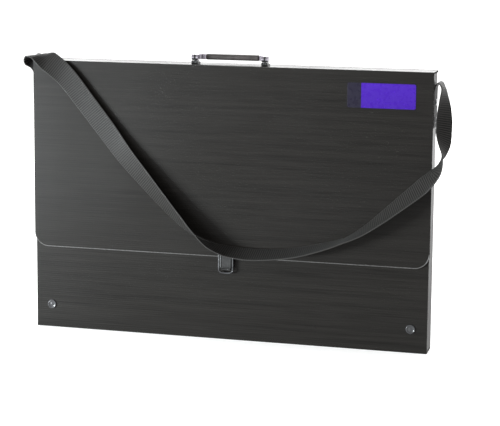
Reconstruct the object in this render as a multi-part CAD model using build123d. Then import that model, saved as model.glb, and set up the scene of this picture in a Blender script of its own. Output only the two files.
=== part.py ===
from build123d import *

import os

# Portfolio case folded from fluted plastic sheet, for A2 artwork.
# Millimetres, +Z up, +X to the wearer's right of the front, front face towards -Y.
# Origin: middle of the case body's underside, where the case stands.

# Sheet and case body
SHEET = 3.0
CREASE_GAP = 0.3
CASE_WIDTH = 637.0
CASE_HEIGHT = 434.0
CASE_DEPTH = 40.0
FRONT_PANEL_TOP = 396.0

# Lid: a spine strip over the top and a flap down the front
LID_WIDTH = 640.0
FLAP_BOTTOM = 133.5
FLAP_CORNER_RADIUS = 23.0

# Wall tabs folded in behind the front panel, and the snap rivets through them
TAB_WIDTH = 58.0
TAB_HEIGHT = 66.0
TAB_FLOOR_GAP = 4.0
CORNER_RIVET_X = 293.0
CORNER_RIVET_Z = 37.5
RIVET_HEAD_RADIUS = 7.4
RIVET_HEAD_HEIGHT = 1.8
RIVET_SHANK_RADIUS = 3.0
RIVET_HOLE_CLEARANCE = 0.15
WASHER_RADIUS = 7.0
WASHER_THICKNESS = 1.4
RIVET_TAIL = 1.2

# Carry handle on the spine
PIVOT_Y = -8.0
PIVOT_ABOVE_SPINE = 10.5
LUG_CENTRE_X = 56.0
LUG_WIDTH = 10.2
LUG_DEPTH = 10.0
LUG_FOOT = 3.0
LUG_FOOT_REACH = 6.6
LUG_POST = 5.6
LUG_EDGE_RADIUS = 1.2
LUG_TONGUE_WIDTH = 2.4
LUG_TONGUE_RADIUS = 4.0
LUG_GROOVE_RADIUS = 0.7
LUG_RIVET_BEHIND = 3.4
KNUCKLE_RADIUS = 4.4
KNUCKLE_WIDTH = 10.2
KNUCKLE_SLOT_WIDTH = 3.0
KNUCKLE_SLOT_RADIUS = 5.2
CHEEK_REACH = 7.5
HANDLE_PIN_RADIUS = 1.5
HANDLE_PIN_BORE = 1.58
HANDLE_REACH = 17.0
ARM_THICKNESS = 4.0
ARM_HEIGHT = 8.0
ARM_BEND_RADIUS = 6.0
GRIP_LENGTH = 85.0
GRIP_DEPTH = 12.0
GRIP_HEIGHT = 9.0
GRIP_RIB_RADIUS = 0.8
GRIP_SOCKET = 7.0
TENON_DEPTH = 2.4
TENON_HEIGHT = 4.5
HANDLE_PLATE_LENGTH = 132.0
HANDLE_PLATE_DEPTH = 16.0
HANDLE_PLATE_THICKNESS = 1.5
LUG_RIVET_RADIUS = 2.0

# Shoulder strap and its fixings on the side walls
STRAP_WIDTH = 34.0
STRAP_THICKNESS = 1.8
STRAP_WALL_GAP = 0.1
STRAP_RIVET_DROPS = (47.0, 74.0)
STRAP_RIVET_RADIUS = 5.0
STRAP_RIVET_SHANK = 2.0
STRAP_PLATE_WIDTH = 28.0
STRAP_PLATE_TOP_DROP = 30.0
STRAP_PLATE_BOTTOM_DROP = 86.0
STRAP_PLATE_THICKNESS = 1.5

# The strap's way round the case, as (middle of the webbing, direction across it). It starts
# straight up one end wall and ends straight down the other. The direction across runs from
# one selvedge to the other, and turns over as the webbing twists.
STRAP_ROUTE = [
    ((-319.5, 0, 349), (0, -1, 0)),
    ((-319.5, 0, 380), (0, -1, 0)),
    ((-319.5, 0, 398), (0, -1, 0)),
    ((-319.9, 0, 405), (0, -1, 0)),
    ((-322.5, 0, 415), (0, -1, 0)),
    ((-328, -1, 425), (-0.05, -1, -0.05)),
    ((-330, -5, 434), (-0.3, -0.92, -0.2)),
    ((-323, -11.5, 439.5), (-0.6, -0.8, -0.05)),
    ((-310, -20.5, 440), (-0.6, -0.76, -0.12)),
    ((-291, -28.5, 432), (-0.72, -0.3, -0.55)),
    ((-263, -30, 410), (-0.79, -0.02, -0.6)),
    ((-229, -29.5, 369), (-0.8, 0.1, -0.6)),
    ((-195, -30, 327), (-0.8, 0.15, -0.6)),
    ((-164, -32, 288), (-0.75, 0.33, -0.57)),
    ((-132, -34.5, 253), (-0.67, 0.5, -0.55)),
    ((-101, -37, 220), (-0.58, 0.66, -0.48)),
    ((-72, -39.5, 191), (-0.45, 0.8, -0.4)),
    ((-46, -42, 169), (-0.25, 0.93, -0.25)),
    ((-22, -43, 155), (-0.05, 0.99, 0.05)),
    ((6, -43, 147), (0, 0.95, 0.3)),
    ((42, -43, 144), (0, 0.93, 0.36)),
    ((81, -43, 146), (0, 0.95, 0.31)),
    ((120, -43, 152), (-0.05, 0.96, 0.26)),
    ((156, -43, 162), (-0.06, 0.98, 0.19)),
    ((190, -43, 174), (0, 1, 0.08)),
    ((219, -42.5, 190), (-0.12, 0.96, 0.22)),
    ((249, -41.5, 213), (-0.28, 0.9, 0.32)),
    ((280, -40.5, 239), (-0.38, 0.82, 0.42)),
    ((309, -40, 264), (-0.45, 0.74, 0.48)),
    ((327.5, -39.5, 284), (-0.33, 0.85, 0.36)),
    ((335, -31.5, 304), (-0.08, 0.96, 0.22)),
    ((336.5, -22, 323), (0.3, 0.92, 0.2)),
    ((335.5, -13, 341), (0.53, 0.82, 0.15)),
    ((335, -8, 359), (0.6, 0.79, 0.1)),
    ((334.5, -4, 378), (0.45, 0.88, 0.05)),
    ((333, -1, 396), (0.2, 0.98, 0)),
    ((331, 0, 410), (0, 1, 0)),
    ((325.5, 0, 417), (0, 1, 0)),
    ((320.7, 0, 411), (0, 1, 0)),
    ((319.7, 0, 403), (0, 1, 0)),
    ((319.5, 0, 392), (0, 1, 0)),
    ((319.5, 0, 372), (0, 1, 0)),
    ((319.5, 0, 349), (0, 1, 0)),
]
STRAP_STEPS_PER_RUN = 3

# Clasp: a bail on the flap that snaps round a nose on the front panel
CLASP_PIVOT_Z = 144.5
CLASP_BASE_WIDTH = 18.8
CLASP_BASE_TOP = 148.5
CLASP_BASE_BOTTOM = 115.4
CLASP_BASE_THICKNESS = 4.4
CLASP_PIN_RADIUS = 1.0
CLASP_PIN_BORE = 1.08
BAIL_WIDTH = 25.0
BAIL_LEG = 2.6
BAIL_THICKNESS = 2.8
BAIL_BOTTOM = 107.0
BAIL_ARC_RISE = 4.0
CATCH_WIDTH = 16.0
CATCH_TOP = 130.0
CATCH_PLATE = 2.2
NOSE_WIDTH = 14.0
NOSE_BOTTOM = 113.0
NOSE_TOP = 114.8
NOSE_REACH = 6.2
CLASP_RIVET_RADIUS = 1.6

# Plain label on the flap
LABEL_WIDTH = 105.0
LABEL_HEIGHT = 38.0
LABEL_THICKNESS = 0.4
LABEL_CENTRE_X = 241.0
LABEL_CENTRE_Z = 396.0
LABEL_CORNER = 3.0

# Places worked out from the sizes above
FRONT_Y = -CASE_DEPTH / 2
BACK_Y = CASE_DEPTH / 2
WALL_X = CASE_WIDTH / 2
SPINE_BOTTOM = CASE_HEIGHT - SHEET
FLAP_BACK_Y = FRONT_Y - CREASE_GAP
FLAP_FRONT_Y = FLAP_BACK_Y - SHEET
PIVOT_Z = CASE_HEIGHT + PIVOT_ABOVE_SPINE
GRIP_Y = PIVOT_Y + HANDLE_REACH
CLASP_PIVOT_Y = FLAP_FRONT_Y - CLASP_BASE_THICKNESS / 2


def block(x, y, z):
    """A box from three (low, high) ranges."""
    size = Box(x[1] - x[0], y[1] - y[0], z[1] - z[0])
    return Pos((x[0] + x[1]) / 2, (y[0] + y[1]) / 2, (z[0] + z[1]) / 2) * size


def rod(centre, direction, radius, length):
    """A cylinder centred on a point, along a direction."""
    plane = Plane(origin=centre, z_dir=direction)
    return plane * Cylinder(radius, length)


def upright_plate(outline, y_front, y_back):
    """A face drawn in X and Z, thickened from y_front back to y_back."""
    plane = Plane(origin=(0, y_back, 0), x_dir=(1, 0, 0), z_dir=(0, -1, 0))
    return extrude(plane * outline, amount=y_back - y_front)


def save(shape, node):
    export_step(shape, f"parts/{node}.step")


def make_back_panel():
    top = SPINE_BOTTOM - CREASE_GAP
    return block((-WALL_X, WALL_X), (BACK_Y - SHEET, BACK_Y), (SHEET, top))


def make_bottom_panel():
    return block((-WALL_X, WALL_X), (FRONT_Y, BACK_Y), (0, SHEET))


def make_front_panel():
    """Front wall with the clearance holes for the corner and catch rivets."""
    panel = block((-WALL_X, WALL_X), (FRONT_Y, FRONT_Y + SHEET), (SHEET, FRONT_PANEL_TOP))
    middle_y = FRONT_Y + SHEET / 2
    for side in (-1, 1):
        centre = (side * CORNER_RIVET_X, middle_y, CORNER_RIVET_Z)
        panel -= rod(centre, (0, 1, 0), RIVET_SHANK_RADIUS + RIVET_HOLE_CLEARANCE, 2 * SHEET)
    for x, z in catch_rivet_places():
        panel -= rod((x, middle_y, z), (0, 1, 0), CLASP_RIVET_RADIUS, 2 * SHEET)
    return panel


def make_side_wall(side):
    """End wall between the front and back panels, drilled for the strap rivets."""
    inner = side * (WALL_X - SHEET)
    outer = side * WALL_X
    x_range = (min(inner, outer), max(inner, outer))
    top = SPINE_BOTTOM - CREASE_GAP
    wall = block(x_range, (FRONT_Y + SHEET, BACK_Y - SHEET), (SHEET, top))
    for drop in STRAP_RIVET_DROPS:
        centre = ((inner + outer) / 2, 0, CASE_HEIGHT - drop)
        wall -= rod(centre, (1, 0, 0), STRAP_RIVET_SHANK, 2 * SHEET)
    return wall


def make_wall_tab(side):
    """The end wall's tab, folded in flat behind the lower corner of the front panel."""
    outer = side * (WALL_X - SHEET)
    inner = outer - side * TAB_WIDTH
    x_range = (min(inner, outer), max(inner, outer))
    y_range = (FRONT_Y + SHEET, FRONT_Y + 2 * SHEET)
    low = SHEET + TAB_FLOOR_GAP
    tab = block(x_range, y_range, (low, low + TAB_HEIGHT))
    centre = (side * CORNER_RIVET_X, FRONT_Y + 1.5 * SHEET, CORNER_RIVET_Z)
    return tab - rod(centre, (0, 1, 0), RIVET_SHANK_RADIUS + RIVET_HOLE_CLEARANCE, 2 * SHEET)


def make_corner_rivet(side):
    """A snap rivet: a low domed head with a dimple, a shank and a spread tail."""
    shank_length = 2 * SHEET + WASHER_THICKNESS
    profile = Polyline(
        (0, 0.9),
        (1.4, 1.1),
        (3.6, 0.8),
        (5.0, 1.0),
        (5.8, RIVET_HEAD_HEIGHT),
        (6.8, RIVET_HEAD_HEIGHT),
        (RIVET_HEAD_RADIUS, 1.0),
        (RIVET_HEAD_RADIUS, 0),
        (RIVET_SHANK_RADIUS, 0),
        (RIVET_SHANK_RADIUS, -shank_length),
        (RIVET_SHANK_RADIUS + 0.9, -shank_length),
        (RIVET_SHANK_RADIUS, -shank_length - RIVET_TAIL),
        (0, -shank_length - RIVET_TAIL),
        close=True,
    )
    turned = revolve(make_face(Plane.XZ * profile), Axis.Z)
    head_origin = (side * CORNER_RIVET_X, FRONT_Y, CORNER_RIVET_Z)
    return Plane(origin=head_origin, x_dir=(1, 0, 0), z_dir=(0, -1, 0)) * turned


def make_corner_washer(side):
    """Washer behind the tab, that the rivet's tail spreads over."""
    centre = (side * CORNER_RIVET_X, FRONT_Y + 2 * SHEET + WASHER_THICKNESS / 2, CORNER_RIVET_Z)
    disc = rod(centre, (0, 1, 0), WASHER_RADIUS, WASHER_THICKNESS)
    bore = rod(centre, (0, 1, 0), RIVET_SHANK_RADIUS + RIVET_HOLE_CLEARANCE, 2 * SHEET)
    return disc - bore


def lug_rivet_places():
    """One rivet through the foot behind each lug's post."""
    y = PIVOT_Y + LUG_DEPTH / 2 + LUG_RIVET_BEHIND
    return [(side * LUG_CENTRE_X, y) for side in (-1, 1)]


def make_top_spine():
    """Strip over the top of the case, from the back crease to the front crease."""
    spine = block((-LID_WIDTH / 2, LID_WIDTH / 2), (FLAP_FRONT_Y, BACK_Y), (SPINE_BOTTOM, CASE_HEIGHT))
    for x, y in lug_rivet_places():
        spine -= rod((x, y, CASE_HEIGHT - SHEET / 2), (0, 0, 1), LUG_RIVET_RADIUS, 2 * SHEET)
    return spine


def make_front_flap():
    """Flap over the upper front, with large round lower corners."""
    top = SPINE_BOTTOM - CREASE_GAP
    height = top - FLAP_BOTTOM
    outline = Pos(0, FLAP_BOTTOM + height / 2) * Rectangle(LID_WIDTH, height)
    lower_corners = outline.vertices().sort_by(Axis.Y)[:2]
    outline = fillet(lower_corners, FLAP_CORNER_RADIUS)
    flap = upright_plate(outline, FLAP_FRONT_Y, FLAP_BACK_Y)
    for x, z in clasp_rivet_places():
        flap -= rod((x, FLAP_FRONT_Y, z), (0, 1, 0), CLASP_RIVET_RADIUS, 4 * SHEET)
    return flap


def make_label():
    outline = Pos(LABEL_CENTRE_X, LABEL_CENTRE_Z) * RectangleRounded(LABEL_WIDTH, LABEL_HEIGHT, LABEL_CORNER)
    return upright_plate(outline, FLAP_FRONT_Y - LABEL_THICKNESS, FLAP_FRONT_Y)


def make_handle_lug(side):
    """Moulded post with a grooved front, a tongue for the pivot pin and a foot behind it."""
    x = side * LUG_CENTRE_X
    x_range = (x - LUG_WIDTH / 2, x + LUG_WIDTH / 2)
    front = PIVOT_Y - LUG_DEPTH / 2
    rear = PIVOT_Y + LUG_DEPTH / 2
    post = block(x_range, (front, rear), (CASE_HEIGHT, CASE_HEIGHT + LUG_POST))
    post = fillet(post.edges().group_by(Axis.Z)[-1], LUG_EDGE_RADIUS)
    foot = block(x_range, (PIVOT_Y, rear + LUG_FOOT_REACH), (CASE_HEIGHT, CASE_HEIGHT + LUG_FOOT))
    tongue_range = (x - LUG_TONGUE_WIDTH / 2, x + LUG_TONGUE_WIDTH / 2)
    stem_half = LUG_TONGUE_RADIUS / 2
    stem = block(tongue_range, (PIVOT_Y - stem_half, PIVOT_Y + stem_half), (CASE_HEIGHT, PIVOT_Z))
    eye = rod((x, PIVOT_Y, PIVOT_Z), (1, 0, 0), LUG_TONGUE_RADIUS, LUG_TONGUE_WIDTH)
    lug = post + foot + stem + eye
    lug -= rod((x, PIVOT_Y, PIVOT_Z), (1, 0, 0), HANDLE_PIN_BORE, 2 * LUG_WIDTH)
    for offset in (-1.7, 1.7):
        lug -= rod((x + offset, front, CASE_HEIGHT), (0, 0, 1), LUG_GROOVE_RADIUS, 4 * LUG_POST)
    rivet_y = rear + LUG_RIVET_BEHIND
    lug -= rod((x, rivet_y, CASE_HEIGHT + 1.0), (0, 0, 1), LUG_RIVET_RADIUS, 8.0)
    return lug


def make_handle_pin(side):
    return rod((side * LUG_CENTRE_X, PIVOT_Y, PIVOT_Z), (1, 0, 0), HANDLE_PIN_RADIUS, LUG_WIDTH)


def make_handle_arm(side):
    """Bright flat arm: a slotted knuckle, a bend inwards and a tenon into the grip."""
    x = side * LUG_CENTRE_X
    grip_end = side * GRIP_LENGTH / 2
    bend_start = Vector(x, GRIP_Y - ARM_BEND_RADIUS)
    bend_end = Vector(x - side * ARM_BEND_RADIUS, GRIP_Y)
    start_line = Line((x, PIVOT_Y), bend_start)
    bend = RadiusArc(bend_start, bend_end, side * -ARM_BEND_RADIUS)
    end_line = Line(bend_end, (grip_end, GRIP_Y))
    path = Wire([start_line, bend, end_line])
    footprint = trace(path, line_width=ARM_THICKNESS)
    low = PIVOT_Z - ARM_HEIGHT / 2
    arm = extrude(Pos(0, 0, low) * footprint, amount=ARM_HEIGHT)
    arm += rod((x, PIVOT_Y, PIVOT_Z), (1, 0, 0), KNUCKLE_RADIUS, KNUCKLE_WIDTH)
    cheeks_x = (x - KNUCKLE_WIDTH / 2, x + KNUCKLE_WIDTH / 2)
    arm += block(cheeks_x, (PIVOT_Y, PIVOT_Y + CHEEK_REACH), (low, low + ARM_HEIGHT))
    arm -= rod((x, PIVOT_Y, PIVOT_Z), (1, 0, 0), KNUCKLE_SLOT_RADIUS, KNUCKLE_SLOT_WIDTH)
    arm -= rod((x, PIVOT_Y, PIVOT_Z), (1, 0, 0), HANDLE_PIN_BORE, 2 * LUG_WIDTH)
    tenon = Box(GRIP_SOCKET, TENON_DEPTH, TENON_HEIGHT)
    arm += Pos(grip_end - side * GRIP_SOCKET / 2, GRIP_Y, PIVOT_Z) * tenon
    return arm


def make_handle_grip():
    """Rounded bar with fine ribs along it and a socket in each end."""
    section = RectangleRounded(GRIP_DEPTH, GRIP_HEIGHT, 3.4)
    for side in (-1, 1):
        for step in (-1, 0, 1):
            section -= Pos(step * 2.4, side * (GRIP_HEIGHT / 2 + 0.4)) * Circle(GRIP_RIB_RADIUS)
    grip_plane = Plane(origin=(-GRIP_LENGTH / 2, GRIP_Y, PIVOT_Z), x_dir=(0, 1, 0), z_dir=(1, 0, 0))
    grip = extrude(grip_plane * section, amount=GRIP_LENGTH)
    for side in (-1, 1):
        middle = side * (GRIP_LENGTH / 2 - GRIP_SOCKET / 2)
        grip -= Pos(middle, GRIP_Y, PIVOT_Z) * Box(GRIP_SOCKET, TENON_DEPTH, TENON_HEIGHT)
    return grip


def make_handle_plate():
    """Stiffening plate under the spine, that both lugs are riveted to."""
    x_range = (-HANDLE_PLATE_LENGTH / 2, HANDLE_PLATE_LENGTH / 2)
    y_range = (PIVOT_Y, PIVOT_Y + HANDLE_PLATE_DEPTH)
    plate = block(x_range, y_range, (SPINE_BOTTOM - HANDLE_PLATE_THICKNESS, SPINE_BOTTOM))
    for x, y in lug_rivet_places():
        plate -= rod((x, y, SPINE_BOTTOM), (0, 0, 1), LUG_RIVET_RADIUS, 4 * HANDLE_PLATE_THICKNESS)
    return plate


def make_handle_rivets():
    """Rivets down through each lug's foot, the spine and the stiffening plate."""
    rivets = []
    top = CASE_HEIGHT + LUG_FOOT
    bottom = SPINE_BOTTOM - HANDLE_PLATE_THICKNESS
    for x, y in lug_rivet_places():
        shank = rod((x, y, (top + bottom) / 2), (0, 0, 1), LUG_RIVET_RADIUS, top - bottom)
        head = Pos(x, y, top + 0.4) * Cylinder(3.2, 0.8)
        tail = Pos(x, y, bottom - 0.5) * Cylinder(3.2, 1.0)
        rivets.append(shank + head + tail)
    return Compound(children=rivets)


def make_strap_plates():
    """Plates inside the end walls, that spread the load of the strap rivets."""
    plates = []
    for side in (-1, 1):
        outer = side * (WALL_X - SHEET)
        inner = outer - side * STRAP_PLATE_THICKNESS
        x_range = (min(inner, outer), max(inner, outer))
        z_range = (CASE_HEIGHT - STRAP_PLATE_BOTTOM_DROP, CASE_HEIGHT - STRAP_PLATE_TOP_DROP)
        plate = block(x_range, (-STRAP_PLATE_WIDTH / 2 + 1.5, STRAP_PLATE_WIDTH / 2 + 1.5), z_range)
        for drop in STRAP_RIVET_DROPS:
            centre = (outer, 0, CASE_HEIGHT - drop)
            plate -= rod(centre, (1, 0, 0), STRAP_RIVET_SHANK, 4 * SHEET)
        plates.append(plate)
    return Compound(children=plates)


def make_strap_rivets():
    """Tubular rivets through the webbing, the end wall and the plate inside it."""
    rivets = []
    outside = WALL_X + STRAP_WALL_GAP + STRAP_THICKNESS
    inside = WALL_X - SHEET - STRAP_PLATE_THICKNESS
    for side in (-1, 1):
        for drop in STRAP_RIVET_DROPS:
            z = CASE_HEIGHT - drop
            middle = (side * (outside + inside) / 2, 0, z)
            shank = rod(middle, (1, 0, 0), STRAP_RIVET_SHANK, outside - inside)
            head = rod((side * (outside + 0.7), 0, z), (1, 0, 0), STRAP_RIVET_RADIUS, 1.4)
            tail = rod((side * (inside - 0.5), 0, z), (1, 0, 0), 3.6, 1.0)
            rivets.append(shank + head + tail)
    return Compound(children=rivets)


def route_heading(station):
    """The way the strap runs at a station: from the station before to the one after."""
    before = STRAP_ROUTE[max(station - 1, 0)][0]
    after = STRAP_ROUTE[min(station + 1, len(STRAP_ROUTE) - 1)][0]
    return (Vector(*after) - Vector(*before)).normalized()


def webbing_section(run, share):
    """The webbing's cross-section partway along the smooth curve between two stations."""
    start = Vector(*STRAP_ROUTE[run][0])
    end = Vector(*STRAP_ROUTE[run + 1][0])
    length = (end - start).length
    leaving = route_heading(run) * length
    arriving = route_heading(run + 1) * length
    cubic = (start - end) * 2 + leaving + arriving
    square = (end - start) * 3 - leaving * 2 - arriving
    middle = start + leaving * share + square * share**2 + cubic * share**3
    along = (leaving + square * (2 * share) + cubic * (3 * share**2)).normalized()
    across = Vector(*STRAP_ROUTE[run][1]) * (1 - share) + Vector(*STRAP_ROUTE[run + 1][1]) * share
    across -= along * across.dot(along)
    plane = Plane(origin=middle, x_dir=across, z_dir=along)
    return plane * Rectangle(STRAP_WIDTH, STRAP_THICKNESS)


def make_shoulder_strap():
    """Webbing band lofted through sections that turn with the twist."""
    sections = []
    for run in range(len(STRAP_ROUTE) - 1):
        for step in range(STRAP_STEPS_PER_RUN):
            sections.append(webbing_section(run, step / STRAP_STEPS_PER_RUN))
    sections.append(webbing_section(len(STRAP_ROUTE) - 2, 1.0))
    band = loft(sections, ruled=True)
    for side in (-1, 1):
        for drop in STRAP_RIVET_DROPS:
            centre = (side * (WALL_X + STRAP_WALL_GAP + STRAP_THICKNESS / 2), 0, CASE_HEIGHT - drop)
            band -= rod(centre, (1, 0, 0), STRAP_RIVET_SHANK, 3 * STRAP_THICKNESS)
    return band


def clasp_rivet_places():
    return [(-5.0, 138.0), (5.0, 138.0)]


def catch_rivet_places():
    return [(-4.5, 124.0), (4.5, 124.0)]


def make_clasp_base():
    """Plate on the flap's lower edge, with a tongue below it and a bore for the bail's pin."""
    height = CLASP_BASE_TOP - CLASP_BASE_BOTTOM
    outline = Pos(0, CLASP_BASE_BOTTOM + height / 2) * RectangleRounded(CLASP_BASE_WIDTH, height, 1.5)
    base = upright_plate(outline, FLAP_FRONT_Y - CLASP_BASE_THICKNESS, FLAP_FRONT_Y)
    base -= rod((0, CLASP_PIVOT_Y, CLASP_PIVOT_Z), (1, 0, 0), CLASP_PIN_BORE, 2 * CLASP_BASE_WIDTH)
    for x, z in clasp_rivet_places():
        base -= rod((x, FLAP_FRONT_Y, z), (0, 1, 0), CLASP_RIVET_RADIUS, 4 * CLASP_BASE_THICKNESS)
    return base


def make_clasp_rivets():
    """Rivets that hold the clasp's plate on the flap."""
    length = SHEET + CLASP_BASE_THICKNESS
    rivets = []
    for x, z in clasp_rivet_places():
        centre = (x, FLAP_BACK_Y - length / 2, z)
        rivets.append(rod(centre, (0, 1, 0), CLASP_RIVET_RADIUS, length))
    return Compound(children=rivets)


def make_clasp_pin():
    return rod((0, CLASP_PIVOT_Y, CLASP_PIVOT_Z), (1, 0, 0), CLASP_PIN_RADIUS, BAIL_WIDTH - 0.4)


def make_clasp_bail():
    """U-shaped loop whose legs turn on the pin above the flap's edge."""
    half = BAIL_WIDTH / 2
    inner = half - BAIL_LEG
    leg_top = CLASP_PIVOT_Z
    outer_low = BAIL_BOTTOM + BAIL_ARC_RISE
    inner_low = outer_low + BAIL_LEG - 0.6
    outer_side = Polyline((half, leg_top), (half, outer_low))
    outer_arc = ThreePointArc((half, outer_low), (0, BAIL_BOTTOM), (-half, outer_low))
    other_side = Polyline((-half, outer_low), (-half, leg_top), (-inner, leg_top), (-inner, inner_low))
    inner_arc = ThreePointArc((-inner, inner_low), (0, BAIL_BOTTOM + BAIL_LEG), (inner, inner_low))
    closing = Polyline((inner, inner_low), (inner, leg_top), (half, leg_top))
    outline = make_face([outer_side, outer_arc, other_side, inner_arc, closing])
    front = CLASP_PIVOT_Y - BAIL_THICKNESS / 2
    bail = upright_plate(outline, front, front + BAIL_THICKNESS)
    for side in (-1, 1):
        centre = (side * (half - BAIL_LEG / 2), CLASP_PIVOT_Y, CLASP_PIVOT_Z)
        bail += rod(centre, (1, 0, 0), BAIL_THICKNESS / 2, BAIL_LEG)
    bail -= rod((0, CLASP_PIVOT_Y, CLASP_PIVOT_Z), (1, 0, 0), CLASP_PIN_BORE, 2 * BAIL_WIDTH)
    return bail


def make_clasp_catch():
    """Plate riveted on the front panel, with the nose that the bail snaps round."""
    half = CATCH_WIDTH / 2
    catch = block((-half, half), (FRONT_Y - CATCH_PLATE, FRONT_Y), (NOSE_BOTTOM, CATCH_TOP))
    nose_half = NOSE_WIDTH / 2
    catch += block((-nose_half, nose_half), (FRONT_Y - NOSE_REACH, FRONT_Y), (NOSE_BOTTOM, NOSE_TOP))
    for x, z in catch_rivet_places():
        catch -= rod((x, FRONT_Y, z), (0, 1, 0), CLASP_RIVET_RADIUS, 4 * SHEET)
    return catch


def make_catch_rivets():
    """Rivets through the catch and the front panel, with a flat tail inside."""
    length = CATCH_PLATE + SHEET
    rivets = []
    for x, z in catch_rivet_places():
        shank = rod((x, FRONT_Y - CATCH_PLATE + length / 2, z), (0, 1, 0), CLASP_RIVET_RADIUS, length)
        tail = rod((x, FRONT_Y + SHEET + 0.4, z), (0, 1, 0), 3.0, 0.8)
        rivets.append(shank + tail)
    return Compound(children=rivets)


os.makedirs("parts", exist_ok=True)
save(make_back_panel(), "back_panel")
save(make_bottom_panel(), "bottom_panel")
save(make_front_panel(), "front_panel")
for side, name in ((-1, "left"), (1, "right")):
    save(make_side_wall(side), f"{name}_side_wall")
    save(make_wall_tab(side), f"{name}_wall_tab")
    save(make_handle_lug(side), f"handle_lug_{name}")
    save(make_handle_pin(side), f"handle_pin_{name}")
    save(make_handle_arm(side), f"handle_arm_{name}")
save(Compound(children=[make_corner_rivet(-1), make_corner_rivet(1)]), "corner_rivets")
save(Compound(children=[make_corner_washer(-1), make_corner_washer(1)]), "corner_rivet_washers")
save(make_top_spine(), "top_spine")
save(make_front_flap(), "front_flap")
save(make_label(), "label")
save(make_handle_grip(), "handle_grip")
save(make_handle_plate(), "handle_plate")
save(make_handle_rivets(), "handle_rivets")
save(make_strap_plates(), "strap_plates")
save(make_strap_rivets(), "strap_rivets")
save(make_shoulder_strap(), "shoulder_strap")
save(make_clasp_base(), "clasp_base")
save(make_clasp_rivets(), "clasp_rivets")
save(make_clasp_pin(), "clasp_pin")
save(make_clasp_bail(), "clasp_bail")
save(make_clasp_catch(), "clasp_catch")
save(make_catch_rivets(), "catch_rivets")
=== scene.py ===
import math

import bmesh
import bpy
from mathutils import Matrix, Vector


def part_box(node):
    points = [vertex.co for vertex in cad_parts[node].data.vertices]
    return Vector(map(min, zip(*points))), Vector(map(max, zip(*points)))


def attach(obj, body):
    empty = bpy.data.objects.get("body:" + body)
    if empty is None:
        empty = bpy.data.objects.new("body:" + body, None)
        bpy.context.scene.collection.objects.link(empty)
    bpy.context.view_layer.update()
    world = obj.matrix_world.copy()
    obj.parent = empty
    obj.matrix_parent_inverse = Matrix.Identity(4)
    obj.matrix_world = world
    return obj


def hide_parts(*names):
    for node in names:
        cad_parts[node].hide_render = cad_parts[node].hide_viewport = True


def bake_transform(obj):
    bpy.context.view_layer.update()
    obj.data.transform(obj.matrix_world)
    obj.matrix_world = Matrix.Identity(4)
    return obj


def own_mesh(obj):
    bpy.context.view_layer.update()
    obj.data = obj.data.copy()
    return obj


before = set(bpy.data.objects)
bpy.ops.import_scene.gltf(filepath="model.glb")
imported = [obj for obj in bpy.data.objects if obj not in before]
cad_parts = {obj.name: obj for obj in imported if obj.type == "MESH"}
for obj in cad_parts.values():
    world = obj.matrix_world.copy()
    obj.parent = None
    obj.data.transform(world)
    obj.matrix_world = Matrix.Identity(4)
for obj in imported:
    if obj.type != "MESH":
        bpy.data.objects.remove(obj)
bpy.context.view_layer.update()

# Sheet and panels, in metres
SHEET = 0.003
SKIN = 0.00032
WEB = 0.00035
FLUTE_PITCH = 0.0033
SKIN_SAG = 0.00005
CASE_HALF_WIDTH = 0.3185
LID_HALF_WIDTH = 0.320
FRONT_Y = -0.020
BACK_Y = 0.020
FLAP_FRONT_Y = -0.0233
FLAP_BOTTOM = 0.1335
FLAP_CORNER = 0.023
CASE_TOP = 0.434
WALL_TOP = 0.4307
FRONT_PANEL_TOP = 0.396

# Webbing
STRAP_WIDTH = 0.034
WEBBING_THICKNESS = 0.0015
SELVEDGE_THICKNESS = 0.0019
RIB_PITCH = 0.0034
RIB_HEIGHT = 0.00022
RINGS_PER_RIB = 6

BAIL_LEG = 0.0026
CORNER_RIVET_X = 0.293
CORNER_RIVET_Z = 0.0375
STRAP_RIVET_X = 0.3205
STRAP_RIVET_HEIGHTS = (("upper", 0.387), ("lower", 0.360))

# Camera: place in metres, and angles in degrees
CAMERA_PLACE = (0.6682, -2.4654, 0.6676)
CAMERA_YAW = 14.54
CAMERA_DOWN = 8.64
CAMERA_ROLL = 0.49

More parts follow.
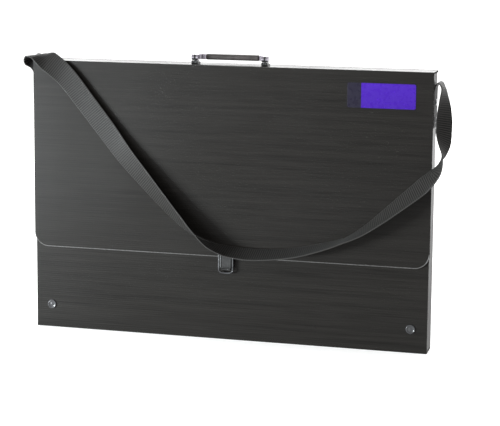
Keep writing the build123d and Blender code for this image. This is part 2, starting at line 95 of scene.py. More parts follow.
# The strap's way round the case, as (middle of the webbing, direction across it)
STRAP_ROUTE = [
    ((-0.3195, 0, 0.349), (0, -1, 0)),
    ((-0.3195, 0, 0.380), (0, -1, 0)),
    ((-0.3195, 0, 0.398), (0, -1, 0)),
    ((-0.3199, 0, 0.405), (0, -1, 0)),
    ((-0.3225, 0, 0.415), (0, -1, 0)),
    ((-0.328, -0.001, 0.425), (-0.05, -1, -0.05)),
    ((-0.330, -0.005, 0.434), (-0.3, -0.92, -0.2)),
    ((-0.323, -0.0115, 0.4395), (-0.6, -0.8, -0.05)),
    ((-0.310, -0.0205, 0.440), (-0.6, -0.76, -0.12)),
    ((-0.291, -0.0285, 0.432), (-0.72, -0.3, -0.55)),
    ((-0.263, -0.030, 0.410), (-0.79, -0.02, -0.6)),
    ((-0.229, -0.0295, 0.369), (-0.8, 0.1, -0.6)),
    ((-0.195, -0.030, 0.327), (-0.8, 0.15, -0.6)),
    ((-0.164, -0.032, 0.288), (-0.75, 0.33, -0.57)),
    ((-0.132, -0.0345, 0.253), (-0.67, 0.5, -0.55)),
    ((-0.101, -0.037, 0.220), (-0.58, 0.66, -0.48)),
    ((-0.072, -0.0395, 0.191), (-0.45, 0.8, -0.4)),
    ((-0.046, -0.042, 0.169), (-0.25, 0.93, -0.25)),
    ((-0.022, -0.043, 0.155), (-0.05, 0.99, 0.05)),
    ((0.006, -0.043, 0.147), (0, 0.95, 0.3)),
    ((0.042, -0.043, 0.144), (0, 0.93, 0.36)),
    ((0.081, -0.043, 0.146), (0, 0.95, 0.31)),
    ((0.120, -0.043, 0.152), (-0.05, 0.96, 0.26)),
    ((0.156, -0.043, 0.162), (-0.06, 0.98, 0.19)),
    ((0.190, -0.043, 0.174), (0, 1, 0.08)),
    ((0.219, -0.0425, 0.190), (-0.12, 0.96, 0.22)),
    ((0.249, -0.0415, 0.213), (-0.28, 0.9, 0.32)),
    ((0.280, -0.0405, 0.239), (-0.38, 0.82, 0.42)),
    ((0.309, -0.040, 0.264), (-0.45, 0.74, 0.48)),
    ((0.3275, -0.0395, 0.284), (-0.33, 0.85, 0.36)),
    ((0.335, -0.0315, 0.304), (-0.08, 0.96, 0.22)),
    ((0.3365, -0.022, 0.323), (0.3, 0.92, 0.2)),
    ((0.3355, -0.013, 0.341), (0.53, 0.82, 0.15)),
    ((0.335, -0.008, 0.359), (0.6, 0.79, 0.1)),
    ((0.3345, -0.004, 0.378), (0.45, 0.88, 0.05)),
    ((0.333, -0.001, 0.396), (0.2, 0.98, 0)),
    ((0.331, 0, 0.410), (0, 1, 0)),
    ((0.3255, 0, 0.417), (0, 1, 0)),
    ((0.3207, 0, 0.411), (0, 1, 0)),
    ((0.3197, 0, 0.403), (0, 1, 0)),
    ((0.3195, 0, 0.392), (0, 1, 0)),
    ((0.3195, 0, 0.372), (0, 1, 0)),
    ((0.3195, 0, 0.349), (0, 1, 0)),
]


# ---- materials ----

def new_material(name, colour, roughness, metallic=0.0, specular=0.5):
    """A Principled material, returned with its node tree and shader node."""
    material = bpy.data.materials.new(name)
    material.use_nodes = True
    material.diffuse_color = (*colour, 1)
    tree = material.node_tree
    shader = tree.nodes["Principled BSDF"]
    shader.inputs["Base Color"].default_value = (*colour, 1)
    shader.inputs["Roughness"].default_value = roughness
    shader.inputs["Metallic"].default_value = metallic
    shader.inputs["Specular IOR Level"].default_value = specular
    return material, tree, shader


def add_node(tree, kind, **settings):
    """A new node, with sockets set by name and anything else set as a property."""
    node = tree.nodes.new(kind)
    for key, value in settings.items():
        if key in node.inputs:
            node.inputs[key].default_value = value
        else:
            setattr(node, key, value)
    return node


def object_coordinates(tree, scale=(1, 1, 1)):
    """Coordinates fixed to the piece, stretched by a scale on each axis."""
    source = add_node(tree, "ShaderNodeTexCoord")
    mapping = add_node(tree, "ShaderNodeMapping", Scale=scale)
    tree.links.new(source.outputs["Object"], mapping.inputs["Vector"])
    return mapping.outputs["Vector"]


def noise(tree, vector, scale, detail=4.0):
    node = add_node(tree, "ShaderNodeTexNoise", Scale=scale, Detail=detail)
    tree.links.new(vector, node.inputs["Vector"])
    return node.outputs["Fac"]


def value_range(tree, source, low, high, from_low=0.3, from_high=0.7):
    """A value spread between low and high."""
    node = add_node(tree, "ShaderNodeMapRange")
    node.inputs["From Min"].default_value = from_low
    node.inputs["From Max"].default_value = from_high
    node.inputs["To Min"].default_value = low
    node.inputs["To Max"].default_value = high
    tree.links.new(source, node.inputs["Value"])
    return node.outputs["Result"]


def mix_colours(tree, factor, first, second):
    """Blend of two colours, each a fixed colour or a socket."""
    node = add_node(tree, "ShaderNodeMix", data_type="RGBA")
    tree.links.new(factor, node.inputs["Factor"])
    for socket, colour in ((node.inputs[6], first), (node.inputs[7], second)):
        if isinstance(colour, tuple):
            socket.default_value = (*colour, 1)
        else:
            tree.links.new(colour, socket)
    return node.outputs[2]


def bump(tree, shader, height, strength, distance):
    node = add_node(tree, "ShaderNodeBump", Strength=strength, Distance=distance)
    tree.links.new(height, node.inputs["Height"])
    tree.links.new(node.outputs["Normal"], shader.inputs["Normal"])


def dust_mask(tree, vector):
    """Small scattered specks: 1 on a speck and 0 between them."""
    cells = add_node(tree, "ShaderNodeTexVoronoi", Scale=34.0)
    tree.links.new(vector, cells.inputs["Vector"])
    chance = add_node(tree, "ShaderNodeMath", operation="GREATER_THAN")
    chance.inputs[1].default_value = 0.72
    tree.links.new(cells.outputs["Color"], chance.inputs[0])
    near = value_range(tree, cells.outputs["Distance"], 1.0, 0.0, 0.02, 0.05)
    speck = add_node(tree, "ShaderNodeMath", operation="MULTIPLY")
    tree.links.new(chance.outputs[0], speck.inputs[0])
    tree.links.new(near, speck.inputs[1])
    return speck.outputs[0]


def make_sheet_material(name, scale):
    """Extruded polypropylene: drawn lines along the flutes, cloudy gloss and a little dust."""
    material, tree, shader = new_material(name, (0.006, 0.0055, 0.005), 0.40, specular=0.10)
    drawn = noise(tree, object_coordinates(tree, scale), 60.0, 6.0)
    fine = noise(tree, object_coordinates(tree, scale), 260.0, 3.0)
    cloud = noise(tree, object_coordinates(tree), 5.0, 3.0)
    streaks = value_range(tree, drawn, 0.0, 1.0)
    base = mix_colours(tree, streaks, (0.0030, 0.0026, 0.0022), (0.0065, 0.0058, 0.0050))
    lined = mix_colours(tree, value_range(tree, fine, 0.0, 0.4), base, (0.013, 0.012, 0.011))
    dusty = mix_colours(tree, dust_mask(tree, object_coordinates(tree)), lined, (0.11, 0.11, 0.11))
    tree.links.new(dusty, shader.inputs["Base Color"])
    tree.links.new(value_range(tree, cloud, 0.32, 0.40), shader.inputs["Roughness"])
    bump(tree, shader, drawn, 0.12, 0.0002)
    return material


def make_cut_edge_highlight_material():
    """Sheet where a blade has stretched and whitened it, its lighter tone partly that whitening and partly a
    painted highlight.
    """
    material, tree, shader = new_material("sheet_cut_edge_and_highlight", (0.07, 0.068, 0.065), 0.5, specular=0.4)
    uneven = noise(tree, object_coordinates(tree), 260.0, 5.0)
    whitening_and_highlight = value_range(tree, uneven, 0.0, 1.0)
    # Painted highlight: the cut edges are made lighter than the sheet, partly as whitening and partly as the
    # light they catch.
    tone = mix_colours(tree, whitening_and_highlight, (0.022, 0.021, 0.020), (0.060, 0.058, 0.056))
    tree.links.new(tone, shader.inputs["Base Color"])
    bump(tree, shader, uneven, 0.3, 0.0002)
    return material


def make_moulded_material(name, colour, roughness):
    """Moulded plastic with a fine grain."""
    material, tree, shader = new_material(name, colour, roughness, specular=0.25)
    grain = noise(tree, object_coordinates(tree), 1400.0, 2.0)
    cloud = noise(tree, object_coordinates(tree), 90.0, 3.0)
    lighter = tuple(channel * 1.7 + 0.004 for channel in colour)
    tone = mix_colours(tree, value_range(tree, cloud, 0.0, 1.0), colour, lighter)
    tree.links.new(tone, shader.inputs["Base Color"])
    tree.links.new(value_range(tree, cloud, roughness - 0.07, roughness + 0.09), shader.inputs["Roughness"])
    bump(tree, shader, grain, 0.1, 0.00003)
    return material


def make_metal_material(name, colour, roughness):
    """Plated metal with faint brushing and handling marks."""
    material, tree, shader = new_material(name, colour, roughness, metallic=1.0)
    brushed = noise(tree, object_coordinates(tree, (1, 1, 30)), 300.0, 3.0)
    marks = noise(tree, object_coordinates(tree), 220.0, 4.0)
    duller = tuple(channel * 0.8 for channel in colour)
    tone = mix_colours(tree, value_range(tree, marks, 0.0, 1.0), colour, duller)
    tree.links.new(tone, shader.inputs["Base Color"])
    tree.links.new(value_range(tree, marks, roughness, roughness + 0.15), shader.inputs["Roughness"])
    bump(tree, shader, brushed, 0.1, 0.00003)
    return material


def make_webbing_material():
    """Woven polypropylene with painted shade between the ribs and a painted highlight on their crests."""
    material, tree, shader = new_material("webbing_weave", (0.02, 0.02, 0.02), 0.55, specular=0.08)
    shader.inputs["Sheen Weight"].default_value = 0.02
    shader.inputs["Sheen Roughness"].default_value = 0.4
    layout = add_node(tree, "ShaderNodeUVMap", uv_map="weave")
    split = add_node(tree, "ShaderNodeSeparateXYZ")
    tree.links.new(layout.outputs["UV"], split.inputs["Vector"])
    phase = add_node(tree, "ShaderNodeMath", operation="MULTIPLY")
    phase.inputs[1].default_value = math.tau / RIB_PITCH
    tree.links.new(split.outputs["Y"], phase.inputs[0])
    crest = add_node(tree, "ShaderNodeMath", operation="COSINE")
    tree.links.new(phase.outputs[0], crest.inputs[0])
    stretched = add_node(tree, "ShaderNodeMapping", Scale=(0.017, 0.12, 1))
    tree.links.new(layout.outputs["UV"], stretched.inputs["Vector"])
    yarn = noise(tree, stretched.outputs["Vector"], 1500.0, 3.0)
    fuzz = noise(tree, object_coordinates(tree), 45.0, 3.0)
    shade = value_range(tree, yarn, 0.0, 1.0)
    woven = mix_colours(tree, shade, (0.0020, 0.0020, 0.0019), (0.0060, 0.0058, 0.0055))
    # Painted highlight and shade: rib crests lighter and the valleys between them darker.
    crest_highlight = value_range(tree, crest.outputs[0], 0.0, 0.85, 0.0, 1.0)
    rib_highlight_and_shade = mix_colours(tree, crest_highlight, woven, (0.030, 0.028, 0.026))
    edge = value_range(tree, split.outputs["X"], 0.0, 0.8, 0.9, 0.96)
    bound = mix_colours(tree, edge, rib_highlight_and_shade, (0.026, 0.025, 0.024))
    worn = mix_colours(tree, value_range(tree, fuzz, 0.0, 0.25), bound, (0.016, 0.0155, 0.015))
    tree.links.new(worn, shader.inputs["Base Color"])
    bump(tree, shader, yarn, 0.4, 0.0003)
    return material


def make_label_material():
    """Glossy printed film: violet, with a dark end and a slight fade."""
    material, tree, shader = new_material("label_film", (0.03, 0.006, 0.20), 0.3, specular=0.15)
    source = add_node(tree, "ShaderNodeTexCoord")
    split = add_node(tree, "ShaderNodeSeparateXYZ")
    tree.links.new(source.outputs["Object"], split.inputs["Vector"])
    dark_end = value_range(tree, split.outputs["X"], 1.0, 0.0, 0.2095, 0.2105)
    fade = value_range(tree, split.outputs["Z"], 0.0, 0.6, 0.377, 0.415)
    violet = mix_colours(tree, fade, (0.022, 0.003, 0.15), (0.030, 0.006, 0.19))
    tree.links.new(mix_colours(tree, dark_end, violet, (0.006, 0.005, 0.012)), shader.inputs["Base Color"])
    scuffs = noise(tree, object_coordinates(tree), 160.0, 5.0)
    tree.links.new(value_range(tree, scuffs, 0.2, 0.42), shader.inputs["Roughness"])
    return material


def make_floor_material():
    material, tree, shader = new_material("floor_white", (0.92, 0.92, 0.92), 0.8, specular=0.1)
    tone = noise(tree, object_coordinates(tree), 1.5, 2.0)
    paper = mix_colours(tree, tone, (0.93, 0.93, 0.93), (0.90, 0.90, 0.90))
    tree.links.new(paper, shader.inputs["Base Color"])
    shader.inputs["Emission Color"].default_value = (1, 1, 1, 1)
    shader.inputs["Emission Strength"].default_value = 0.35
    return material


SHEET_ALONG_X = make_sheet_material("fluted_sheet_x", (0.06, 3, 3))
SHEET_ALONG_Y = make_sheet_material("fluted_sheet_y", (3, 0.06, 3))
CUT_EDGE_AND_HIGHLIGHT = make_cut_edge_highlight_material()
MOULDED = make_moulded_material("moulded_black", (0.008, 0.008, 0.008), 0.30)
GRIP = make_moulded_material("moulded_grip", (0.018, 0.015, 0.014), 0.45)
SNAP = make_moulded_material("snap_rivet_black", (0.020, 0.020, 0.021), 0.22)
BRIGHT = make_metal_material("bright_plate", (0.34, 0.32, 0.36), 0.16)
STEEL = make_metal_material("plain_steel", (0.45, 0.45, 0.46), 0.3)
WEBBING = make_webbing_material()
LABEL = make_label_material()


# ---- mesh helpers ----

def make_piece(name, points, faces, material, body, smooth=False):
    """A mesh piece with outward normals that rides on a CAD body."""
    mesh = bpy.data.meshes.new(name)
    mesh.from_pydata([tuple(point) for point in points], [], faces)
    work = bmesh.new()
    work.from_mesh(mesh)
    bmesh.ops.recalc_face_normals(work, faces=work.faces)
    work.to_mesh(mesh)
    work.free()
    if smooth:
        mesh.shade_smooth()
    piece = bpy.data.objects.new(name, mesh)
    bpy.context.scene.collection.objects.link(piece)
    mesh.materials.append(material)
    if body:
        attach(piece, body)
    return piece


def join_rings(rings, caps=True):
    """Points and faces of a skin through closed rings of equal count."""
    count = len(rings[0])
    points = [point for ring in rings for point in ring]
    faces = []
    for ring in range(len(rings) - 1):
        for i in range(count):
            j = (i + 1) % count
            low = ring * count
            high = low + count
            faces.append((low + i, low + j, high + j, high + i))
    if caps:
        last = (len(rings) - 1) * count
        faces.append(tuple(range(count)))
        faces.append(tuple(last + i for i in range(count)))
    return points, faces


def lathe(profile, origin, axis, segments=40):
    """Rings of a turned shape. The profile is (radius, distance along the axis) pairs."""
    axis = Vector(axis).normalized()
    side = axis.orthogonal().normalized()
    other = axis.cross(side)
    rings = []
    for radius, distance in profile:
        centre = Vector(origin) + axis * distance
        ring = []
        for step in range(segments):
            angle = math.tau * step / segments
            ring.append(centre + (side * math.cos(angle) + other * math.sin(angle)) * radius)
        rings.append(ring)
    return join_rings(rings)


# ---- fluted sheet ----

def sheet_levels(low, high):
    """Heights across a fluted sheet, as (height, True inside a flute or False in a web)."""
    flutes = round((high - low) / FLUTE_PITCH)
    pitch = (high - low - WEB) / flutes
    levels = [(low, False), (low + WEB, False)]
    for flute in range(flutes):
        start = low + WEB + flute * pitch
        end = start + pitch - WEB
        for share in (0.25, 0.5, 0.75):
            levels.append((start + (end - start) * share, True))
        levels.append((end, False))
        levels.append((end + WEB, False))
    return levels


def rounded_half_length(half_length, height, low, radius):
    """Half length of a sheet at a height, with round lower corners."""
    above = height - low
    if above >= radius:
        return half_length
    return half_length - radius + math.sqrt(radius**2 - (radius - above) ** 2)


def sheet_points(place, levels, half_length, low, corner):
    """Eight points a level: four depths at each end of the sheet."""
    points = []
    for height, in_flute in levels:
        half = rounded_half_length(half_length, height, low, corner) if corner else half_length
        sag = SKIN_SAG if in_flute else 0.0
        for end in (-half, half):
            for depth in (sag, SKIN, SHEET - SKIN, SHEET - sag):
                points.append(place(end, height, depth))
    return points


def sheet_face(*corners):
    """A face from (level, end, depth) corners."""
    return tuple(level * 8 + end * 4 + depth for level, end, depth in corners)


def long_face(level, other_level, depth, other_depth):
    """A face that runs the whole length of the sheet."""
    near = [(level, 0, depth), (level, 1, depth)]
    far = [(other_level, 1, other_depth), (other_level, 0, other_depth)]
    return sheet_face(*near, *far)


def fluted_sheet(place, half_length, low, high, corner=0.0):
    """Twin-wall sheet: two skins joined by webs, with every flute open at both ends.

    place turns (along the flutes, across them, depth into the sheet) into a point.
    Returns the points, the faces of skins and webs, and the faces of cut edges.
    """
    levels = sheet_levels(low, high)
    lengthwise = []
    cut = []
    last = len(levels) - 1
    for level in range(last):
        above = level + 1
        narrow = levels[above][0] - levels[level][0] < 1.5 * WEB
        in_web = narrow and not levels[level][1] and not levels[above][1]
        lengthwise += [long_face(level, above, depth, depth) for depth in (0, 3)]
        for end in (0, 1):
            for depth in (0, 1, 2) if in_web else (0, 2):
                lower = [(level, end, depth), (level, end, depth + 1)]
                upper = [(above, end, depth + 1), (above, end, depth)]
                cut.append(sheet_face(*lower, *upper))
        if in_web:
            continue
        lengthwise += [long_face(level, above, depth, depth) for depth in (1, 2)]
        for edge in (level, above):
            if not levels[edge][1]:
                lengthwise.append(long_face(edge, edge, 1, 2))
    for level in (0, last):
        cut += [long_face(level, level, depth, depth + 1) for depth in (0, 1, 2)]
    return sheet_points(place, levels, half_length, low, corner), lengthwise, cut


def add_sheet(node, body, material, place, half_length, low, high, corner=0.0):
    """A fluted sheet that stands for the CAD slab of the same name."""
    points, lengthwise, cut = fluted_sheet(place, half_length, low, high, corner)
    piece = make_piece(node + "_sheet", points, lengthwise + cut, material, body)
    piece.data.materials.append(CUT_EDGE_AND_HIGHLIGHT)
    for polygon in piece.data.polygons:
        polygon.material_index = int(polygon.index >= len(lengthwise))
    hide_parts(node)
    return piece


def build_flap_edge():
    """The lip that the cutting blade turns up along the flap's lower edge and round its corners, coloured
    lighter partly as whitening and partly as a painted highlight.
    """
    radius = 0.0009
    centre_x = LID_HALF_WIDTH - FLAP_CORNER
    centre_z = FLAP_BOTTOM + FLAP_CORNER
    rings = []
    for side, start in ((-1, 180), (1, 270)):
        for step in range(13):
            turn = math.radians(start + 7.5 * step)
            outward = Vector((math.cos(turn), 0, math.sin(turn)))
            middle = Vector((side * centre_x, FLAP_FRONT_Y + 0.0006, centre_z))
            middle += outward * (FLAP_CORNER - radius / 2)
            ring = []
            for corner in range(12):
                angle = math.tau * corner / 12
                ring.append(middle + (outward * math.cos(angle) + Vector((0, math.sin(angle), 0))) * radius)
            rings.append(ring)
    points, faces = join_rings(rings)
    make_piece("flap_edge_lip", points, faces, CUT_EDGE_AND_HIGHLIGHT, "flap", smooth=True)


def fold_skin(name, corner_y, corner_z, y_way, z_way, half_length, material):
    """The outer skin carried round a fold along X: y_way and z_way point from the corner into the sheets."""
    reach = 0.0045
    rise = 0.00018
    radius = 0.0009
    outer = [(reach, -rise), (radius, -rise)]
    for step in range(1, 6):
        angle = math.radians(90 + 15 * step)
        turn_y = radius + (radius + rise) * math.cos(angle)
        turn_z = radius - (radius + rise) * math.sin(angle)
        outer.append((turn_y, turn_z))
    outer += [(-rise, radius), (-rise, reach)]
    inner = [(rise, reach), (rise, rise * 2), (rise * 2, rise), (reach, rise)]
    rings = []
    steps = 24
    for step in range(steps + 1):
        x = half_length * (2 * step / steps - 1)
        ring = [(x, corner_y + y_way * y, corner_z + z_way * z) for y, z in outer + inner]
        rings.append(ring)
    points, faces = join_rings(rings)
    return make_piece(name, points, faces, material, None)


def build_panels():
    add_sheet(
        "front_flap", "flap", SHEET_ALONG_X,
        lambda u, v, w: (u, FLAP_FRONT_Y + w, v),
        LID_HALF_WIDTH, FLAP_BOTTOM, WALL_TOP, FLAP_CORNER,
    )
    add_sheet(
        "front_panel", "case", SHEET_ALONG_X,
        lambda u, v, w: (u, FRONT_Y + w, v),
        CASE_HALF_WIDTH, SHEET, FRONT_PANEL_TOP,
    )
    add_sheet(
        "back_panel", "case", SHEET_ALONG_X,
        lambda u, v, w: (u, BACK_Y - w, v),
        CASE_HALF_WIDTH, SHEET, WALL_TOP,
    )
    add_sheet(
        "bottom_panel", "case", SHEET_ALONG_X,
        lambda u, v, w: (u, v, w),
        CASE_HALF_WIDTH, FRONT_Y, BACK_Y,
    )
    add_sheet(
        "top_spine", "lid_top", SHEET_ALONG_X,
        lambda u, v, w: (u, v, CASE_TOP - w),
        LID_HALF_WIDTH, FLAP_FRONT_Y, BACK_Y,
    )


def build_end_walls():
    for side, name in ((-1, "left"), (1, "right")):
        add_sheet(
            name + "_side_wall", "case", SHEET_ALONG_Y,
            lambda u, v, w, side=side: (side * (CASE_HALF_WIDTH - w), u, v),
            BACK_Y - SHEET, SHEET, WALL_TOP,
        )
        low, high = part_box(name + "_wall_tab")
        middle = (low[0] + high[0]) / 2
        add_sheet(
            name + "_wall_tab", "case", SHEET_ALONG_X,
            lambda u, v, w, middle=middle, front=low[1]: (middle + u, front + w, v),
            (high[0] - low[0]) / 2, low[2], high[2],
        )


def build_folds():
    flap_fold = fold_skin("flap_fold", FLAP_FRONT_Y, CASE_TOP, 1, -1, LID_HALF_WIDTH, SHEET_ALONG_X)
    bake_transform(flap_fold)
    back_fold = fold_skin("back_fold", BACK_Y, CASE_TOP, -1, -1, CASE_HALF_WIDTH, SHEET_ALONG_X)
    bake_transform(back_fold)
    for name, y, y_way in (("front_bottom_fold", FRONT_Y, 1), ("back_bottom_fold", BACK_Y, -1)):
        fold = fold_skin(name, y, 0.0002, y_way, 1, CASE_HALF_WIDTH, SHEET_ALONG_X)
        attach(fold, "case")


# ---- webbing ----

def route_heading(station):
    """The way the strap runs at a station: from the station before to the one after."""
    before = Vector(STRAP_ROUTE[max(station - 1, 0)][0])
    after = Vector(STRAP_ROUTE[min(station + 1, len(STRAP_ROUTE) - 1)][0])
    return (after - before).normalized()


def strap_frame(run, share):
    """Middle, across and along directions partway between two stations."""
    start = Vector(STRAP_ROUTE[run][0])
    end = Vector(STRAP_ROUTE[run + 1][0])
    length = (end - start).length
    leaving = route_heading(run) * length
    arriving = route_heading(run + 1) * length
    cubic = (start - end) * 2 + leaving + arriving
    square = (end - start) * 3 - leaving * 2 - arriving
    middle = start + leaving * share + square * share**2 + cubic * share**3
    along = (leaving + square * (2 * share) + cubic * (3 * share**2)).normalized()
    across = Vector(STRAP_ROUTE[run][1]).lerp(Vector(STRAP_ROUTE[run + 1][1]), share)
    across = (across - along * across.dot(along)).normalized()
    return middle, across, along


def strap_line():
    """Evenly spaced frames along the whole strap."""
    dense = []
    for run in range(len(STRAP_ROUTE) - 1):
        for step in range(60):
            dense.append(strap_frame(run, step / 60))
    dense.append(strap_frame(len(STRAP_ROUTE) - 2, 1.0))
    spacing = RIB_PITCH / RINGS_PER_RIB
    line = [dense[0]]
    travelled = 0.0
    wanted = spacing
    for before, after in zip(dense, dense[1:]):
        step_length = (after[0] - before[0]).length
        while wanted <= travelled + step_length:
            share = (wanted - travelled) / step_length
            line.append(tuple(before[i].lerp(after[i], share) for i in range(3)))
            wanted += spacing
        travelled += step_length
    return line


def webbing_ring(middle, across, along, rib):
    """One closed section of the webbing. rib is 0 in a valley and 1 on a rib's crest."""
    normal = across.cross(along).normalized()
    half = STRAP_WIDTH / 2
    flat = WEBBING_THICKNESS / 2 + RIB_HEIGHT * rib
    bead = SELVEDGE_THICKNESS / 2
    outline = [(half - 0.0022, flat), (half - 0.0015, bead), (half - 0.0005, bead * 0.9), (half, bead * 0.4)]
    upper = [(-x, h) for x, h in reversed(outline)]
    for x in (-0.010, -0.005, 0.0, 0.005, 0.010):
        upper.append((x, flat))
    upper += outline
    lower = [(x, -h) for x, h in reversed(upper)]
    return [middle + across * x + normal * h for x, h in upper + lower]


def build_strap():
    rings = []
    for index, (middle, across, along) in enumerate(strap_line()):
        rib = abs(math.cos(math.pi * index / RINGS_PER_RIB)) ** 0.6
        rings.append(webbing_ring(middle, across.normalized(), along.normalized(), rib))
    points, faces = join_rings(rings)
    strap = make_piece("shoulder_webbing", points, faces, WEBBING, "case", smooth=True)
    layout = strap.data.uv_layers.new(name="weave")
    count = len(rings[0])
    spacing = RIB_PITCH / RINGS_PER_RIB
    first = rings[0]
    centre = sum(first, Vector()) / count
    edge_share = [(point - centre).length / (STRAP_WIDTH / 2) for point in first]
    for loop in strap.data.loops:
        ring, place = divmod(loop.vertex_index, count)
        layout.data[loop.index].uv = (edge_share[place], ring * spacing)
    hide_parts("shoulder_strap")
    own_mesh(strap)


# ---- rivets ----

def build_rivets():
    profile = [
        (0.0001, 0.0010), (0.0010, 0.00115), (0.0016, 0.0010), (0.0030, 0.0007), (0.0046, 0.0008),
        (0.0053, 0.0013), (0.0058, 0.00175), (0.0064, 0.0018), (0.0069, 0.0015), (0.0073, 0.0009),
        (0.0074, 0.0003), (0.0073, 0.0), (0.0030, 0.0), (0.0030, -0.0074), (0.0038, -0.0076),
        (0.0030, -0.0085), (0.0001, -0.0086),
    ]
    for side, name in ((-1, "left"), (1, "right")):
        points, faces = lathe(profile, (side * CORNER_RIVET_X, FRONT_Y, CORNER_RIVET_Z), (0, -1, 0), 56)
        rivet = make_piece("corner_rivet_" + name, points, faces, SNAP, "case", smooth=True)
        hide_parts("corner_rivets")
    head = [
        (0.0016, 0.0), (0.0017, 0.0006), (0.0022, 0.0010), (0.0034, 0.0012), (0.0044, 0.0011),
        (0.0050, 0.0006), (0.0050, 0.0), (0.0020, 0.0), (0.0020, -0.0065), (0.0036, -0.0066),
        (0.0036, -0.0074), (0.0016, -0.0076),
    ]
    for side, name in ((-1, "left"), (1, "right")):
        for level, height in STRAP_RIVET_HEIGHTS:
            points, faces = lathe(head, (side * STRAP_RIVET_X, 0, height), (side, 0, 0), 40)
            rivet_name = f"strap_rivet_{name}_{level}"
            piece = make_piece(rivet_name, points, faces, STEEL, "case", smooth=True)
            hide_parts("strap_rivets")


# ---- label and clasp ----

def rounded_plate(low, high, radius, levels):
    """Skin of an upright plate with round corners. Each level is (distance from the front, inset)."""
    middle_x = (low[0] + high[0]) / 2
    middle_z = (low[2] + high[2]) / 2
    reach_x = (high[0] - low[0]) / 2 - radius
    reach_z = (high[2] - low[2]) / 2 - radius
    rings = []
    for distance, inset in levels:
        ring = []
        for quarter, (sx, sz) in enumerate(((1, 1), (-1, 1), (-1, -1), (1, -1))):
            for step in range(7):
                angle = math.radians(90 * quarter + 15 * step)
                x = sx * reach_x + (radius - inset) * math.cos(angle)
                z = sz * reach_z + (radius - inset) * math.sin(angle)
                ring.append((middle_x + x, low[1] + distance, middle_z + z))
        rings.append(ring)
    return join_rings(rings)


def build_label():
    low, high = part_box("label")
    levels = [(high[1] - low[1], 0.0), (0.0001, 0.0), (0.0, 0.00015)]
    points, faces = rounded_plate(low, high, 0.003, levels)
    film = make_piece("label_film", points, faces, LABEL, "flap")
    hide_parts("label")


def build_clasp_base():
    """Moulded base with softened edges round a shallow tray."""
    low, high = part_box("clasp_base")
    levels = [(high[1] - low[1], 0.0), (0.0012, 0.0), (0.0006, 0.0002), (0.0002, 0.0006), (0.0, 0.0012)]
    levels += [(0.0, 0.0022), (0.0002, 0.0025), (0.0007, 0.0027)]
    points, faces = rounded_plate(low, high, 0.003, levels)
    base = make_piece("clasp_base_moulding", points, faces, MOULDED, "flap")
    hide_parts("clasp_base")


def bail_line(half_width, leg_top, leg_low, arc_bottom):
    """Middle line of the bail: down one leg, round the bottom and up the other."""
    line = [(half_width, leg_top - (leg_top - leg_low) * step / 8) for step in range(8)]
    for step in range(25):
        turn = math.pi * step / 24
        cos = math.cos(turn)
        x = half_width * math.copysign(abs(cos) ** 0.75, cos)
        line.append((x, leg_low - (leg_low - arc_bottom) * math.sin(turn) ** 0.8))
    line += [(-half_width, leg_low + (leg_top - leg_low) * step / 8) for step in range(1, 9)]
    return [Vector((x, 0, z)) for x, z in line]


def build_clasp_bail():
    """A wire-like moulded loop with a soft section."""
    low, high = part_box("clasp_bail")
    thick = (high[1] - low[1]) / 2
    middle_y = (high[1] + low[1]) / 2
    line = bail_line(high[0] - BAIL_LEG / 2, high[2] - thick / 2, low[2] + 0.0065, low[2] + BAIL_LEG / 2)
    rings = []
    for index, middle in enumerate(line):
        before = line[max(index - 1, 0)]
        after = line[min(index + 1, len(line) - 1)]
        heading = (after - before).normalized()
        side = Vector((heading.z, 0, -heading.x))
        ring = []
        for corner in range(20):
            angle = math.tau * corner / 20
            offset = side * (BAIL_LEG / 2 * math.cos(angle))
            ring.append(middle + offset + Vector((0, middle_y + thick * math.sin(angle), 0)))
        rings.append(ring)
    points, faces = join_rings(rings)
    bail = make_piece("clasp_bail_loop", points, faces, SNAP, "clasp", smooth=True)
    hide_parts("clasp_bail")


# ---- handle ----

def build_grip():
    """Moulded grip with a rounded section, ribs along it and softened ends."""
    low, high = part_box("handle_grip")
    centre = (Vector(low) + Vector(high)) / 2
    half = (Vector(high) - Vector(low)) / 2
    rings = []
    ends = [(1.0, 0.72), (0.995, 0.84), (0.985, 0.93), (0.965, 0.985), (0.94, 1.0)]
    stations = [(-x, s) for x, s in ends] + [(x, s) for x, s in reversed(ends)]
    for share, scale in stations:
        ring = []
        for step in range(96):
            angle = math.tau * step / 96
            cos = math.cos(angle)
            sin = math.sin(angle)
            reach = (abs(cos) ** 2.8 + abs(sin) ** 2.8) ** (-1 / 2.8)
            rib = 1 - 0.035 * (0.5 + 0.5 * math.cos(16 * angle))
            ring.append(
                (
                    centre.x + share * half.x,
                    centre.y + cos * reach * rib * scale * half.y,
                    centre.z + sin * reach * rib * scale * half.z,
                )
            )
        rings.append(ring)
    points, faces = join_rings(rings)
    piece = make_piece("grip_moulding", points, faces, GRIP, "handle", smooth=True)
    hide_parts("handle_grip")


def dress_cad_nodes():
    """Materials for the hard CAD nodes that stay as they are."""
    choices = {
        "corner_rivet_washers": MOULDED,
        "handle_lug_left": MOULDED,
        "handle_lug_right": MOULDED,
        "handle_pin_left": STEEL,
        "handle_pin_right": STEEL,
        "handle_arm_left": BRIGHT,
        "handle_arm_right": BRIGHT,
        "handle_plate": MOULDED,
        "handle_rivets": STEEL,
        "strap_plates": MOULDED,
        "clasp_rivets": STEEL,
        "clasp_pin": STEEL,
        "clasp_catch": MOULDED,
        "catch_rivets": STEEL,
    }
    for node, material in choices.items():
        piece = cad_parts[node]
        piece.data.materials.clear()
        piece.data.materials.append(material)


# ---- floor, light and camera ----

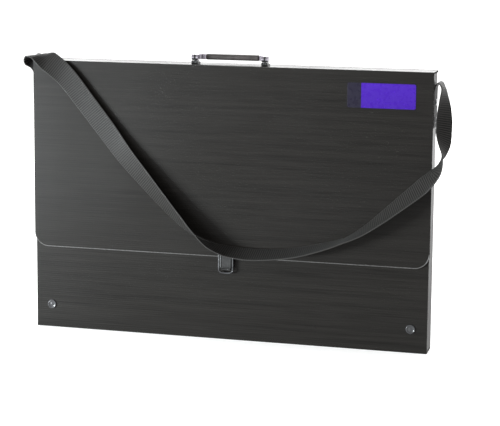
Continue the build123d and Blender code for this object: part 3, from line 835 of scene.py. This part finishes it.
def build_floor():
    mesh = bpy.data.meshes.new("floor")
    half = 30.0
    corners = [(-half, -half, 0), (half, -half, 0), (half, half, 0), (-half, half, 0)]
    mesh.from_pydata(corners, [], [(0, 1, 2, 3)])
    floor = bpy.data.objects.new("floor", mesh)
    bpy.context.scene.collection.objects.link(floor)
    mesh.materials.append(make_floor_material())


def add_area_light(name, place, target, width, height, power, colour=(1, 1, 1)):
    lamp = bpy.data.lights.new(name, "AREA")
    lamp.shape = "RECTANGLE"
    lamp.size = width
    lamp.size_y = height
    lamp.energy = power
    lamp.color = colour
    light = bpy.data.objects.new(name, lamp)
    bpy.context.scene.collection.objects.link(light)
    light.location = place
    light.rotation_euler = (Vector(target) - Vector(place)).to_track_quat("-Z", "Y").to_euler()


def build_lights():
    world = bpy.data.worlds.new("studio")
    world.use_nodes = True
    world.node_tree.nodes["Background"].inputs["Color"].default_value = (1, 1, 1, 1)
    world.node_tree.nodes["Background"].inputs["Strength"].default_value = 1.02
    bpy.context.scene.world = world
    bpy.context.scene.view_settings.view_transform = "Standard"
    add_area_light("key_left", (-2.2, -1.6, 1.6), (-0.1, 0, 0.25), 1.2, 1.2, 12)
    add_area_light("low_left", (-1.75, -1.4, 0.1), (-0.3, 0, 0.1), 0.8, 0.2, 190, (0.90, 0.97, 1.0))
    add_area_light("back_glow", (-0.4, 3.0, 1.3), (0, 0, 0.4), 4.0, 2.2, 110)


def build_camera():
    data = bpy.data.cameras.new("view")
    data.sensor_width = 36
    data.lens = 118.6
    data.shift_x = 0.003
    data.shift_y = -0.10
    camera = bpy.data.objects.new("view", data)
    bpy.context.scene.collection.objects.link(camera)
    turn = Matrix.Rotation(math.radians(CAMERA_YAW), 4, "Z")
    tilt = Matrix.Rotation(math.radians(90 - CAMERA_DOWN), 4, "X")
    roll = Matrix.Rotation(math.radians(CAMERA_ROLL), 4, "Z")
    camera.matrix_world = Matrix.Translation(CAMERA_PLACE) @ turn @ tilt @ roll
    bpy.context.scene.camera = camera


build_panels()
build_end_walls()
build_flap_edge()
build_folds()
build_strap()
build_rivets()
build_label()
build_clasp_base()
build_clasp_bail()
build_grip()
dress_cad_nodes()
build_floor()
build_lights()
build_camera()
